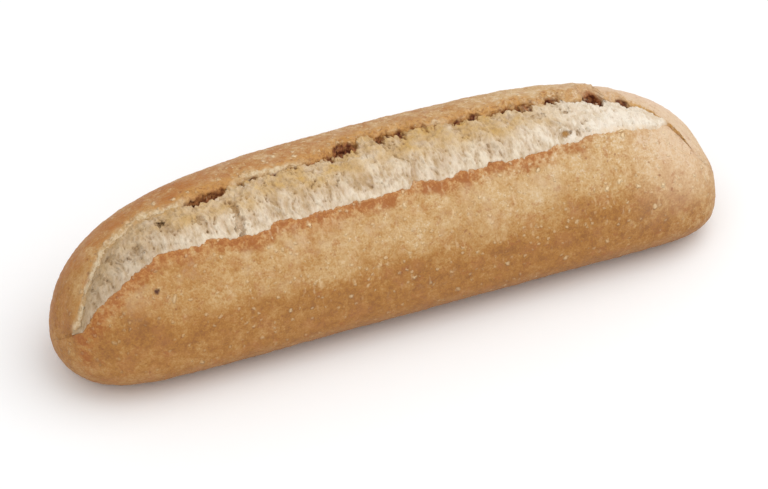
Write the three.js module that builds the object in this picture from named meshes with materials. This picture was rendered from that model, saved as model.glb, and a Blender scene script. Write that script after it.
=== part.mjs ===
// A bolillo roll: a long crusty bread roll with one lengthwise score that has torn open in the oven.
// The loaf lies along X on its flat base, with its origin on the floor under the middle of its box.
// The score opens towards -Y. Its back edge, the ear, curls up and forward over a row of torn cavities.
// Its front edge is a thin raised rim of crust. Between the two the pale crumb shows.
// All sizes are in millimetres.

import * as THREE from 'three';
import { ParametricGeometry } from 'three/addons/geometries/ParametricGeometry.js';
import { mergeVertices } from 'three/addons/utils/BufferGeometryUtils.js';

const { clamp, lerp, smoothstep } = THREE.MathUtils;

// ---- Loaf ----
const LENGTH = 200;
const WIDTH = 57.5;
const HEIGHT = 47;
const BELLY_HEIGHT = 11.5; // height of the widest line above the floor
const TUCK_DEPTH = 16.6; // reach of the lower curve below the belly, which the flat base cuts off
const BEND = 4.5; // how far the two tips lie in front of the middle
// Powers of the superellipses: 2 is an ellipse, more is boxier.
const DOME_POWER = 2.25;
const TUCK_POWER = 1.7;
// How blunt each end is, from the left (-X) and from the right (+X).
const FRONT_END_POWER = [10, 16];
const BACK_END_POWER = [3.5, 4.6];
const SIDE_END_POWER = [4.7, 3.8];
const BASE_END_POWER = [11, 25];

// ---- Score ----
// Where its two edges run, seen from above, as [x, y].
const EAR_LINE = [
  [-98, -16.6], [-93.8, -14.4], [-89.4, -10.2], [-83.6, -5], [-76, -2], [-70, -0.9], [-61, -2.2], [-55, -0.2],
  [-44, 0.2], [-30, 1], [-16, 1.2], [4, 3.2], [22, 2.7], [38, 2.9], [60, 2.6], [70, 2.2], [76.5, -2.2],
  [81, -2.6], [85.5, -4.4], [88, -9.2], [91, -15.6],
];
const FRONT_LINE = [
  [-98, -17.2], [-93, -17], [-84, -16.4], [-76, -15.2], [-68, -14.4], [-60, -15.2], [-44, -16.5], [-36, -16],
  [0, -15.6], [40, -15.3], [55, -14.4], [62, -13.6], [78, -12.9], [81.5, -11.6], [84, -7], [91, -7],
];
const SCORE_START = -98;
const SCORE_END = 92;
const SCORE_FADE = 3.5; // length over which the relief dies out at each end of the score
const SCORE_MIN_WIDTH = 1.4;
const CRUMB_DEPTH = 0.9; // depth of the crumb's edges below the loaf's curve
const CRUMB_SWELL = 1.3; // rise of the crumb's middle above its edges
const CRUMB_LUMP = 0.6; // height of the crumb's strands and lumps
const RIM_LIFT = 0.5; // height of the front rim
const RIM_WIDTH = 1.8;
// Scallops torn out of the front rim, as [x of the peak, height]. Each rises fast and falls slowly towards +X.
const SCALLOPS = [
  [-72, 0.8], [-57, 1], [-37.2, 0.8], [-20.8, 0.5], [-13.5, 0.8], [4.9, 1.3], [18, 0.8], [27.5, 1.2],
  [39.2, 0.5], [47.7, 0.8], [57.7, 0.7], [68.6, 0.5],
];
const SCALLOP_RISE = 1.8;
const SCALLOP_FALL = 6;
const EAR_LIFT = 1; // how far the ear's rim stands above the loaf's curve
const EAR_SLOPE = 3; // width over which the ear falls back to that curve
// Width of the torn face between the ear's lower edge and its rim, as [x, width].
const EAR_FACE = [[-98, 1.5], [-88, 2.8], [-70, 3], [-56, 1.8], [70, 1.6], [90, 0.8]];
const UNDERCUT = 2.2; // how far an open cavity reaches back under the ear
const CAVITY_DROP = 2.6; // how much deeper the crumb lies in an open cavity
// Torn cavities under the ear, as [x of the middle, half length, rise of the ear over it, height of its
// mouth seen from above, depth from 0 to 1].
const CAVITIES = [
  [-55.5, 3.2, 0.8, 1.8, 1], [-49.5, 4.8, 0.5, 2.6, 1], [-38, 2.6, 1, 1.3, 0.7], [-30.8, 2.2, 0.3, 1.2, 0.8],
  [-21.5, 4.4, 0.3, 0.9, 0.6], [-9.5, 5.2, 4.4, 5, 1], [-3, 3.2, 4, 0.6, 0.3], [2.6, 3.2, 2.6, 4, 1],
  [7.2, 2.4, 1, 3, 0.8], [13, 2.6, 2.4, 3.4, 0.6], [24.4, 2.6, 0.3, 1.8, 1], [30, 2.6, 1.7, 2.8, 1],
  [35.4, 2.4, 0, 0.9, 0.6], [40, 2.6, 1.2, 2.2, 0.9], [45.4, 3.4, 2.7, 4, 0.7], [54, 2.9, 3, 2.8, 1],
  [59.6, 2.8, 0.2, 1.6, 0.5], [66.8, 4.2, 4.2, 7, 1], [75.2, 2.5, 0.6, 3, 1],
];
// Bubbles torn open in the crumb, as [x, y, radius, depth].
const BUBBLES = [
  [-88, -11.5, 2.2, 0.8], [-76.5, -10, 2.8, 1.4], [-66, -1.5, 2.2, 0.9], [-57, -9, 1.9, 1],
  [-18, -8.5, 2.4, 0.8], [29, -11, 2.2, 0.7], [47, -4, 2, 0.8], [61, -10.8, 2.6, 1.1],
];

// ---- Crust ----
const CRUST_LUMP = 0.45; // gentle unevenness of the crust
const CRUST_LUMP_SIZE = 8.5;

// ---- Mesh ----
const STATIONS = 134; // steps along the loaf
const BASE_ROWS = 2; // steps from the middle line of the base to its edge
const LOWER_ROWS = 3; // steps from the base's edge up to the belly
const FRONT_ROWS = 7; // steps from the belly up to the score
const CRUMB_ROWS = 9;
const CRUMB_CROWDING = 1.3; // more than 1 crowds the crumb's rows towards the ear
const BACK_ROWS = 7; // steps from the ear down to the belly at the back
const EDGE_SHARE = 0.9; // the farthest out that the score may lie, as a share of the half width
const TINY = 1e-6;

/** A smooth curve through a short list of [x, y], held flat past both ends. */
function follow(points, x) {
  const last = points.length - 1;
  if (x <= points[0][0]) return points[0][1];
  if (x >= points[last][0]) return points[last][1];
  const i = points.findIndex((point) => point[0] > x) - 1;
  const slopeAt = (j) => {
    const before = points[Math.max(j - 1, 0)];
    const after = points[Math.min(j + 1, last)];
    return (after[1] - before[1]) / (after[0] - before[0]);
  };
  const [x0, y0] = points[i];
  const [x1, y1] = points[i + 1];
  const span = x1 - x0;
  const t = (x - x0) / span;
  const u = 1 - t;
  const straight = y0 * (1 + 2 * t) * u * u + y1 * t * t * (1 + 2 * u);
  return straight + span * t * u * (slopeAt(i) * u - slopeAt(i + 1) * t);
}

/** Uneven ground from -1 to 1 over two lengths, a and b, made of waves that never quite repeat. */
function waves(a, b, size) {
  const p = a / size;
  const q = b / size;
  const first = Math.sin(p + 1.7 * Math.sin(0.61 * q));
  const second = Math.sin(1.37 * q - 0.83 * p + 2.1);
  const third = Math.sin(0.53 * p + 1.13 * q + 4.2) * Math.sin(0.71 * p + 0.9);
  return (first + second + third) / 3;
}

/** How far a round bump or hollow reaches at a distance from its middle, from 1 there to 0 at its edge. */
function roundness(distance, radius) {
  return Math.sqrt(Math.max(0, 1 - (distance / radius) ** 2));
}

/** The cavities at x: how far they raise the ear, how high their mouth is, and their depth from 0 to 1. */
function cavityAt(x) {
  const sizes = [2, 3, 4].map((k) => Math.max(...CAVITIES.map((cave) => cave[k] * roundness(x - cave[0], cave[1]))));
  return { rise: sizes[0], mouth: sizes[1], depth: sizes[2] };
}

/** How far the torn front rim reaches over the crumb at x. */
function scallopAt(x) {
  const heights = SCALLOPS.map(([peak, height]) => {
    const length = x < peak ? SCALLOP_RISE : SCALLOP_FALL;
    return height * Math.max(0, 1 - Math.abs(x - peak) / length);
  });
  return Math.max(...heights);
}

/** Depth of the torn bubbles at a point of the crumb, seen from above. */
function bubbleDepth(x, y) {
  const depths = BUBBLES.map(([bx, by, radius, depth]) => depth * roundness(Math.hypot(x - bx, y - by), radius));
  return Math.max(...depths);
}

/** How much of a size is left at a share of the half length, from 1 in the middle to 0 at the tip. */
function endFall(share, powers) {
  const power = share < 0 ? powers[0] : powers[1];
  return Math.sqrt(Math.max(0, 1 - Math.abs(share) ** power));
}

/** The sizes of the loaf's cross-section at a share of its half length, from -1 to 1. */
function stationAt(share) {
  const lean = BEND * share * share;
  return {
    x: share * LENGTH / 2,
    middle: -lean,
    halfFront: (WIDTH / 2 - lean) * endFall(share, FRONT_END_POWER),
    halfBack: WIDTH / 2 * endFall(share, BACK_END_POWER),
    dome: (HEIGHT - BELLY_HEIGHT) * endFall(share, SIDE_END_POWER),
    tuck: TUCK_DEPTH * endFall(share, BASE_END_POWER),
  };
}

/** A point [y, z] over the dome, at an angle from its crown, positive to the back, and lifted off it. */
function domePoint(station, angle, lift) {
  const s = Math.sin(angle);
  const c = Math.cos(angle);
  const half = Math.max(s < 0 ? station.halfFront : station.halfBack, TINY);
  const dome = Math.max(station.dome, TINY);
  const radius = (Math.abs(s) ** DOME_POWER + Math.abs(c) ** DOME_POWER) ** (-1 / DOME_POWER);
  const y = half * radius * s;
  const z = dome * radius * c;
  const out = new THREE.Vector2(y / half ** 2, z / dome ** 2).normalize();
  const strength = Math.min(1, half / 12); // the relief dies out with the section at the tips
  return [station.middle + y + lift * strength * out.x, BELLY_HEIGHT + z + lift * strength * out.y];
}

/** The score's profile at a station from the front rim to behind the ear, as [y seen from above, lift]. */
function scoreProfile(x) {
  const start = smoothstep(x, SCORE_START, SCORE_START + SCORE_FADE);
  const fade = start * (1 - smoothstep(x, SCORE_END - SCORE_FADE, SCORE_END));
  const cavity = cavityAt(x);
  const open = cavity.depth * fade;
  const ear = follow(EAR_LINE, x) + cavity.rise;
  const front = Math.min(follow(FRONT_LINE, x) + scallopAt(x), ear - SCORE_MIN_WIDTH);
  const face = follow(EAR_FACE, x) * (1 + 0.3 * waves(x, 3, 3.1));
  const lip = EAR_LIFT * (1 + 0.4 * waves(x, 20, 4.3));
  const floor = CRUMB_DEPTH + CAVITY_DROP * open;
  const profile = [
    [front - RIM_WIDTH, 0.6 * RIM_LIFT],
    [front, RIM_LIFT],
    [lerp(front, ear, 0.03), -0.8 * CRUMB_DEPTH],
  ];
  for (let row = 0; row < CRUMB_ROWS; row += 1) {
    const across = 1 - (1 - (row + 0.5) / CRUMB_ROWS) ** CRUMB_CROWDING;
    const y = lerp(front + 0.6, ear - 0.4, across);
    const strands = waves(x - 0.35 * y, y / 3, 1.2);
    const lumps = waves(x, 2 * y, 4);
    const swell = CRUMB_SWELL * Math.sin(Math.PI * across);
    const dip = CAVITY_DROP * open * smoothstep(y, ear - cavity.mouth, ear) + bubbleDepth(x, y);
    profile.push([y, swell - CRUMB_DEPTH + CRUMB_LUMP * (0.6 * strands + lumps) - dip]);
  }
  profile.push(
    [ear - 0.3 + 0.3 * UNDERCUT * open, -floor - 0.8],
    [ear - 0.2 + UNDERCUT * open, -0.8 * floor - 0.6],
    [ear - 0.1 + 0.6 * UNDERCUT * open, -CRUMB_DEPTH - 0.1],
    [ear, -0.35],
    [ear + face, lip],
    [ear + face + EAR_SLOPE, 0.7 * lip],
  );
  return profile.map(([y, lift]) => [y, lift * fade]);
}

/** The score's profile as [angle from the crown, lift], drawn in where the loaf is too narrow for it. */
function scoreAngles(station) {
  const shares = scoreProfile(station.x).map(([y, lift]) => {
    const off = y - station.middle;
    return [off / Math.max(off < 0 ? station.halfFront : station.halfBack, TINY), lift];
  });
  const farthest = Math.max(...shares.map(([share]) => Math.abs(share)));
  const draw = Math.min(1, EDGE_SHARE / farthest);
  return shares.map(([share, lift]) => {
    const across = draw * share;
    return [Math.atan2(across, (1 - Math.abs(across) ** DOME_POWER) ** (1 / DOME_POWER)), lift];
  });
}

/** A point [y, z] of the lower half, front (-1) or back (1), at an angle below the belly. */
function lowerPoint(station, side, angle) {
  const half = side < 0 ? station.halfFront : station.halfBack;
  const y = station.middle + side * half * Math.cos(angle) ** (2 / TUCK_POWER);
  return [y, Math.max(0, BELLY_HEIGHT - station.tuck * Math.sin(angle) ** (2 / TUCK_POWER))];
}

/** The whole cross-section at a station as points [y, z], once round from the middle line of the base. */
function sectionAt(station) {
  const points = [];
  // The angle at which the lower half meets the floor. Close to the tips it stays clear of the floor.
  const floorSine = clamp(BELLY_HEIGHT / Math.max(station.tuck, TINY), 0, 1) ** (TUCK_POWER / 2);
  const floorAngle = Math.asin(floorSine);
  const front = lowerPoint(station, -1, floorAngle);
  const back = lowerPoint(station, 1, floorAngle);
  const lumpAt = (angle) => {
    const ease = Math.min(1, 2.2 * Math.cos(angle));
    return CRUST_LUMP * ease * waves(station.x, 28 * angle, CRUST_LUMP_SIZE);
  };
  const baseRow = (edge, row) => [lerp(station.middle, edge[0], row / BASE_ROWS), edge[1]];

  for (let row = 0; row < BASE_ROWS; row += 1) points.push(baseRow(front, row));
  for (let row = LOWER_ROWS; row > 0; row -= 1) points.push(lowerPoint(station, -1, floorAngle * row / LOWER_ROWS));
  const score = scoreAngles(station);
  const [firstAngle] = score[0];
  const [lastAngle, lastLift] = score[score.length - 1];
  for (let row = 0; row < FRONT_ROWS; row += 1) {
    const angle = lerp(-Math.PI / 2, firstAngle, row / FRONT_ROWS);
    points.push(domePoint(station, angle, lumpAt(angle)));
  }
  for (const [angle, lift] of score) points.push(domePoint(station, angle, lift + lumpAt(angle)));
  for (let row = 1; row <= BACK_ROWS; row += 1) {
    const angle = lerp(lastAngle, Math.PI / 2, row / BACK_ROWS);
    const settle = lastLift * Math.max(0, 1 - row / 2.5) ** 2;
    points.push(domePoint(station, angle, lumpAt(angle) + settle));
  }
  for (let row = 1; row <= LOWER_ROWS; row += 1) points.push(lowerPoint(station, 1, floorAngle * row / LOWER_ROWS));
  for (let row = BASE_ROWS - 1; row > 0; row -= 1) points.push(baseRow(back, row));
  return points;
}

/** The stations, from tip to tip, at even steps along the loaf's outline seen from above. */
function stationsAlong() {
  const fineSteps = 4000;
  const fine = [];
  let travelled = 0;
  for (let i = 0; i <= fineSteps; i += 1) {
    const station = stationAt(Math.sin(lerp(-Math.PI / 2, Math.PI / 2, i / fineSteps)));
    const previous = i > 0 ? fine[i - 1] : station;
    travelled += Math.hypot(station.x - previous.x, station.halfFront - previous.halfFront);
    fine.push({ ...station, travelled });
  }
  const stations = [];
  for (let i = 0; i <= STATIONS; i += 1) {
    const wanted = travelled * i / STATIONS;
    stations.push(fine.find((station) => station.travelled >= wanted - TINY));
  }
  return stations;
}

/** Welds equal corners and drops the triangles that collapse at the tips. */
function weld(geometry) {
  geometry.deleteAttribute('normal');
  geometry.deleteAttribute('uv');
  const welded = mergeVertices(geometry, 1e-4);
  const corners = welded.getIndex().array;
  const kept = [];
  for (let i = 0; i < corners.length; i += 3) {
    const [a, b, c] = corners.slice(i, i + 3);
    if (a !== b && b !== c && c !== a) kept.push(a, b, c);
  }
  welded.setIndex(kept);
  welded.computeVertexNormals();
  return welded;
}

/** The whole loaf as one closed solid, standing on the floor in the middle of its box. */
function loafGeometry() {
  const stations = stationsAlong();
  const sections = stations.map(sectionAt);
  const around = sections[0].length;
  const surface = (u, v, target) => {
    const i = Math.round(u * STATIONS);
    const [y, z] = sections[i][Math.round(v * around) % around];
    target.set(stations[i].x, y, z);
  };
  const loaf = weld(new ParametricGeometry(surface, STATIONS, around));
  loaf.computeBoundingBox();
  const { min, max } = loaf.boundingBox;
  return loaf.translate(-(min.x + max.x) / 2, -(min.y + max.y) / 2, -min.z);
}

const crust = new THREE.MeshStandardMaterial({ color: 0xc08a4e, roughness: 0.6, metalness: 0 });

const loaf = new THREE.Mesh(loafGeometry(), crust);
loaf.name = 'bolillo_roll';

const roll = new THREE.Group();
roll.add(loaf);

export default roll;
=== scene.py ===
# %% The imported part
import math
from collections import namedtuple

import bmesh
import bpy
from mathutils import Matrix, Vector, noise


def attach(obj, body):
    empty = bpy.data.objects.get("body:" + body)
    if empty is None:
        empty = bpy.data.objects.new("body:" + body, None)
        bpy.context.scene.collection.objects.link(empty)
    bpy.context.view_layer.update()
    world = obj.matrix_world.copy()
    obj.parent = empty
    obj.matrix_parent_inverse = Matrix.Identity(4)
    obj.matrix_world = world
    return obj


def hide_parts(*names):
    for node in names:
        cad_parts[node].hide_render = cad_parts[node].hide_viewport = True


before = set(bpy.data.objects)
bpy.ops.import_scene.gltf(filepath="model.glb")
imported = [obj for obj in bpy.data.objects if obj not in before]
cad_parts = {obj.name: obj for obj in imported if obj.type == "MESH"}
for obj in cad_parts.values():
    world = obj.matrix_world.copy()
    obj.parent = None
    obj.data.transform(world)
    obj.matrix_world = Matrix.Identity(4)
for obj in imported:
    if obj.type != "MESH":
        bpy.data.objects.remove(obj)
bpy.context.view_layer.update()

# %% [markdown]
# # A bolillo roll
#
# This notebook dresses a plain model of a long bread roll so that it looks freshly baked. The packed
# part loaded above gives its true size and place. It is one closed solid that lies along X on the
# floor, and its torn score opens towards -Y.
#
# A loaf like this has two very different surfaces. The **crust** is thin, golden and smooth. The
# **crumb** shows where the score tore open in the oven: it is pale, fibrous and full of small holes.
# We make each of them as a mesh of its own, so each can be as fine as it needs to be.

MM = 0.001  # the loaf's sizes below are in millimetres and Blender works in metres

# %% [markdown]
# ## The loaf's curve
#
# A loaf could be sculpted by hand, or grown from a subdivided box. Both are hard to repeat. Here its
# cross-section is a superellipse, a circle that can be made boxier by raising one power, and the
# same idea blunts its two ends. A few named sizes then give the whole form.

# %% Sizes of the loaf
LENGTH = 200
WIDTH = 57.5
HEIGHT = 47
BELLY_HEIGHT = 11.5  # the widest line's height above the floor
TUCK_DEPTH = 16.6  # how deep the lower curve would reach, if the flat base didn't cut it off
BEND = 4.5  # how far the tips lie in front of the middle
DOME_POWER = 2.25
TUCK_POWER = 1.7
# Bluntness of the left and the right end.
FRONT_END_POWER = (10, 16)
BACK_END_POWER = (3.5, 4.6)
SIDE_END_POWER = (4.7, 3.8)
BASE_END_POWER = (11, 25)
TINY = 1e-6


# %% Small helpers for numbers
def lerp(a, b, t):
    return a + (b - a) * t


def ease(value, low, high):
    """Rises softly from 0 at low to 1 at high."""
    t = min(max((value - low) / (high - low), 0), 1)
    return t * t * (3 - 2 * t)


def roundness(distance, radius):
    """The height of a half circle: 1 in its middle and 0 at its rim."""
    return math.sqrt(max(0, 1 - (distance / radius) ** 2))


def follow(points, x):
    """A smooth curve through a short list of (x, y), held flat past both ends."""
    last = len(points) - 1
    if x <= points[0][0]:
        return points[0][1]
    if x >= points[last][0]:
        return points[last][1]
    i = next(k for k in range(1, last + 1) if points[k][0] > x) - 1

    def slope(j):
        before, after = points[max(j - 1, 0)], points[min(j + 1, last)]
        return (after[1] - before[1]) / (after[0] - before[0])

    (x0, y0), (x1, y1) = points[i], points[i + 1]
    t = (x - x0) / (x1 - x0)
    u = 1 - t
    straight = y0 * (1 + 2 * t) * u * u + y1 * t * t * (1 + 2 * u)
    return straight + (x1 - x0) * t * u * (slope(i) * u - slope(i + 1) * t)


def waves(a, b, size):
    """Uneven ground from -1 to 1, made of waves that never quite repeat."""
    p, q = a / size, b / size
    first = math.sin(p + 1.7 * math.sin(0.61 * q))
    second = math.sin(1.37 * q - 0.83 * p + 2.1)
    third = math.sin(0.53 * p + 1.13 * q + 4.2) * math.sin(0.71 * p + 0.9)
    return (first + second + third) / 3


# %% The cross-section at any place along the loaf
CRUST_LUMP = 0.45  # how high the soft lumps of the skin stand
CRUST_LUMP_SIZE = 8.5
LUMP_TURN = 28  # how far the lumps' pattern moves on for each radian round the dome
LUMP_REACH = 2.2  # the lumps die away lower down the sides if this is larger
SLIM = 12  # where the loaf's half is slimmer than this, at its tips, its relief shrinks too
Station = namedtuple("Station", "x middle front back dome tuck")


def end_fall(share, powers):
    """How much of a size is left at a share of the half length."""
    power = powers[0] if share < 0 else powers[1]
    return math.sqrt(max(0, 1 - abs(share) ** power))


def station_at(x):
    share = x / (LENGTH / 2)
    lean = BEND * share * share
    return Station(
        x,
        -lean,
        max((WIDTH / 2 - lean) * end_fall(share, FRONT_END_POWER), TINY),
        max(WIDTH / 2 * end_fall(share, BACK_END_POWER), TINY),
        max((HEIGHT - BELLY_HEIGHT) * end_fall(share, SIDE_END_POWER), TINY),
        TUCK_DEPTH * end_fall(share, BASE_END_POWER),
    )


def dome_point(station, angle, lift):
    """A point over the dome, at an angle from its crown, pushed out by lift."""
    s, c = math.sin(angle), math.cos(angle)
    half = station.front if s < 0 else station.back
    radius = (abs(s) ** DOME_POWER + abs(c) ** DOME_POWER) ** (-1 / DOME_POWER)
    y, z = half * radius * s, station.dome * radius * c
    out_y, out_z = y / half**2, z / station.dome**2
    size = math.hypot(out_y, out_z) or 1
    lumps = CRUST_LUMP * min(1, LUMP_REACH * max(c, 0)) * waves(station.x, LUMP_TURN * angle, CRUST_LUMP_SIZE)
    push = (lift + lumps) * min(1, half / SLIM) / size
    return Vector((station.x, station.middle + y + push * out_y, BELLY_HEIGHT + z + push * out_z))


def lower_point(station, side, angle):
    """A point of the lower half, at an angle below the belly, to the front (-1) or the back (1)."""
    half = station.front if side < 0 else station.back
    y = station.middle + side * half * max(math.cos(angle), 0) ** (2 / TUCK_POWER)
    z = BELLY_HEIGHT - station.tuck * math.sin(angle) ** (2 / TUCK_POWER)
    return Vector((station.x, y, max(0, z)))


middle_station = station_at(0)
print("the middle section is", middle_station.front + middle_station.back, "mm wide")

# %% [markdown]
# ## The score
#
# The baker cuts the dough once along its length, holding the blade almost flat. In the oven the cut
# opens. Its back edge lifts and curls into what bakers call the *ear*, and the dough under it tears
# into a row of small caves. The front edge stays low and browns to a thin scalloped rim.
#
# We describe the tear by the paths of its two edges, seen from above, and by the size of each cave
# and each scallop. Everything else, such as how deep the crumb lies, follows from named sizes. Real
# tears are never smooth, so both paths also get wobble of three sizes from Blender's own noise.

# %% The two edges of the score
# Where the ear's edge and the front rim run, as (x, y) seen from above.
EAR_LINE = [
    (-98, -16.6), (-93.8, -14.4), (-89.4, -10.2), (-83.6, -5), (-76, -2), (-70, -0.9), (-61, -2.2),
    (-55, -0.2), (-44, 0.2), (-30, 1), (-16, 1.2), (4, 3.2), (22, 2.7), (38, 2.9), (50, 2.2),
    (60, 0.8), (67, 0.4), (74, -2), (80, -3.8), (84, -7), (88, -11.6), (91, -16),
]
FRONT_LINE = [
    (-98, -17.2), (-93, -17), (-84, -16.4), (-76, -15.2), (-68, -14.4), (-60, -15.2), (-44, -16.5),
    (-36, -16), (0, -15.6), (40, -15.3), (55, -14.4), (62, -13.4), (76, -12.6), (81, -12), (84, -10),
    (91, -9.4),
]
SCORE_START = -98
SCORE_END = 92
SCORE_FADE = 3.5
SCORE_MIN_WIDTH = 1.4
RIM_SHIFT = 0.25  # how much further the torn skin's rim reaches than the plain form's
# Scallops of the front rim: the peak's x and its height.
SCALLOPS = [
    (-72, 0.8), (-57, 1), (-37.2, 0.8), (-20.8, 0.5), (-13.5, 0.8), (4.9, 1.3), (18, 0.8), (27.5, 1.2),
    (39.2, 0.5), (47.7, 0.8), (57.7, 0.7), (68.6, 0.5),
]
SCALLOP_RISE = 1.8
SCALLOP_FALL = 6
# Wobbles of a torn edge: how far each one reaches, how long it is, and its line of noise.
RIM_WOBBLES = [(0.25, 3.1, 1), (0.45, 1.2, 2), (0.3, 0.5, 3)]
EAR_WOBBLES = [(0.5, 2.8, 4), (0.6, 1.2, 5), (0.3, 0.5, 6)]
NOISE_LINE_GAP = 17.3
OFF_THE_LATTICE = 0.5  # this noise is 0 at whole numbers, so its lines run between them


def wobble(x, size, row):
    """Blender's noise along a line, about -0.7 to 0.7. Each row is a different line."""
    return noise.noise(Vector((x / size, NOISE_LINE_GAP * row, OFF_THE_LATTICE)))


def ragged(x, wobbles):
    """How far a torn edge strays from its path."""
    return sum(reach * wobble(x, size, row) for reach, size, row in wobbles)


def scallop_at(x):
    """How far the torn front rim reaches over the crumb. Scallops rise fast and fall slowly towards +X."""
    heights = []
    for peak, height in SCALLOPS:
        length = SCALLOP_RISE if x < peak else SCALLOP_FALL
        heights.append(height * max(0, 1 - abs(x - peak) / length))
    return max(heights)


# %% The ear and the caves under it
# How high the ear's lip stands and how wide its torn face is, each from place to place along X.
EAR_LIFT = [(-98, 0.2), (-66, 0.25), (-58, 0.45), (44, 0.45), (56, 0.8), (72, 1), (79, 0.6), (90, 0.2)]
EAR_FACE = [
    (-98, 1.5), (-88, 2.8), (-70, 3), (-56, 1.8), (50, 1.8), (60, 3.2), (68, 3), (76, 1.4), (90, 0.8),
]
EAR_SLOPE = 3  # how far behind its face the ear settles back into the loaf
# How pale the torn face of the ear is, from 0 where it browned to 1 where it didn't.
EAR_PALE = [
    (-98, 0.8), (-62, 1), (-57, 0.3), (-46, 0.15), (-41, 0.8), (-27, 0.8), (-19, 0.2), (-7, 0.1),
    (-3, 0.3), (2, 0.1), (14, 0.2), (19, 0.6), (23, 0.2), (40, 0.1), (60, 0.1), (80, 0.2), (91, 0.4),
]
# Caves: the middle's x, half their length, how far the ear rises over them, how high their mouth is
# when seen from above, and their depth from 0 to 1.
Cave = namedtuple("Cave", "x half_length rise mouth depth")
CAVES = [Cave(*sizes) for sizes in (
    (-58.6, 1.4, 0.8, 1.2, 0.8), (-55, 2.6, 0.9, 2.2, 1), (-50, 4.9, 0.6, 2.6, 0.9),
    (-41.6, 1.4, 0.3, 2.2, 0.5), (-38, 2.7, 1, 1.3, 0.8), (-30.8, 1.9, 0.3, 1.2, 0.9),
    (-25.6, 1.6, 0.2, 1, 0.8), (-20.4, 2.9, 0.3, 0.9, 0.7), (-14.6, 2.2, 1.7, 3, 1),
    (-9.3, 4.4, 4.4, 5, 1), (-3, 3.2, 4.1, 0.5, 0.5), (2.4, 2.6, 2.7, 4, 1), (7.2, 2.9, 1.6, 4, 1),
    (12, 1.4, 2.7, 2, 0.5), (14.4, 1.4, 1.8, 3.6, 0.5), (18.4, 1, 0.8, 1, 0.4), (24.4, 2.4, 0.3, 1.7, 1),
    (30, 2.2, 1.7, 2.9, 1), (35.4, 2.2, 0, 0.8, 0.7), (38.7, 1.2, 0.5, 1.6, 0.9),
    (40.8, 1.4, 1.4, 2.2, 0.9), (45.4, 3.4, 2.7, 3.6, 0.6), (54, 2.6, 3, 2.9, 1),
    (59.6, 2.8, 0.2, 1.6, 0.5), (66, 3.2, 4.2, 7, 1), (71, 1.2, 0.6, 1.2, 0.5), (74.4, 1.9, 2.2, 2.4, 1),
)]
CRUMB_DEPTH = 0.9  # how far the score's floor lies under the loaf's curve
CAVE_DEPTH = 2.6  # how much deeper it lies in a cave of depth 1
DEEPEST = 1.2  # the most that wobble makes of a cave's depth
MOUTH_SPREAD = 1.4  # torn mouths gape wider than the plain form's
# How much each size varies from place to place, as a share of itself.
FACE_UNEVEN = 0.3
LIP_UNEVEN = 0.4
LIP_NOTCHED = 0.35
DEPTH_UNEVEN = 0.8
MOUTH_UNEVEN = 0.5
print("the ear hangs over", len(CAVES), "caves and the rim has", len(SCALLOPS), "scallops")

# %% The score at any place along the loaf
RIM_WIDTH = 1.8
EDGE_SHARE = 0.9  # the score keeps within this share of the loaf's half width
SIDE_SHARE = 0.97  # no point of it lies further down the side
Score = namedtuple("Score", "front ear face lip mouth depth fade floor pale draw")


def score_at(station):
    x = station.x
    fade = ease(x, SCORE_START, SCORE_START + SCORE_FADE) * (1 - ease(x, SCORE_END - SCORE_FADE, SCORE_END))
    shares = [(cave, roundness(x - cave.x, cave.half_length)) for cave in CAVES]
    rise = max(cave.rise * share for cave, share in shares)
    mouth = max(cave.mouth * share for cave, share in shares)
    depth = max(cave.depth * share for cave, share in shares)
    ear = follow(EAR_LINE, x) + rise
    front = min(follow(FRONT_LINE, x) + RIM_SHIFT + scallop_at(x), ear - SCORE_MIN_WIDTH)
    front += ragged(x, RIM_WOBBLES) * fade
    ear += ragged(x, EAR_WOBBLES) * fade
    face = follow(EAR_FACE, x) * (1 + FACE_UNEVEN * waves(x, 3, 3.1))
    lip = follow(EAR_LIFT, x) * (1 + LIP_UNEVEN * waves(x, 20, 4.3) + LIP_NOTCHED * wobble(x, 2, 8))
    depth = min(DEEPEST, max(0, depth * (1 + DEPTH_UNEVEN * wobble(x, 1.3, 9)))) * fade
    mouth = MOUTH_SPREAD * mouth * (1 + MOUTH_UNEVEN * wobble(x, 1, 10))
    reach = max(
        abs(front - RIM_WIDTH - station.middle) / station.front,
        abs(ear + face + EAR_SLOPE - station.middle) / station.back,
    )
    floor = CRUMB_DEPTH + CAVE_DEPTH * depth
    draw = min(1, EDGE_SHARE / reach)
    return Score(front, ear, face, lip, mouth, depth, fade, floor, follow(EAR_PALE, x), draw)


def angle_over(station, score, y):
    """The dome's angle above a point seen from above, drawn in where the loaf is too narrow."""
    off = y - station.middle
    share = score.draw * off / (station.front if off < 0 else station.back)
    share = min(max(share, -SIDE_SHARE), SIDE_SHARE)
    return math.atan2(share, (1 - abs(share) ** DOME_POWER) ** (1 / DOME_POWER))


def lay(station, score, y, lift):
    """Puts a point of the score's profile on the loaf."""
    return dome_point(station, angle_over(station, score, y), lift)


tear = score_at(middle_station)
print(f"in the middle the score is {tear.ear - tear.front:.1f} mm wide and {tear.floor:.1f} mm deep")

# %% [markdown]
# ## One sleeve for both pieces
#
# Crust and crumb are both long closed sleeves: a ring of points at each station, joined into a tube
# that closes at its two tips. Blender's grid operator makes such a sheet in one call. We move its
# points into place, and merging doubles then zips up the seam and the tips.
#
# Float layers travel with the points. They tell the materials later what kind of place a point is,
# which is far easier than guessing it again from its position.

# %% Building a sleeve
MERGE_DISTANCE = 2e-4  # in millimetres, as the mesh is until its last step


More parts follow.
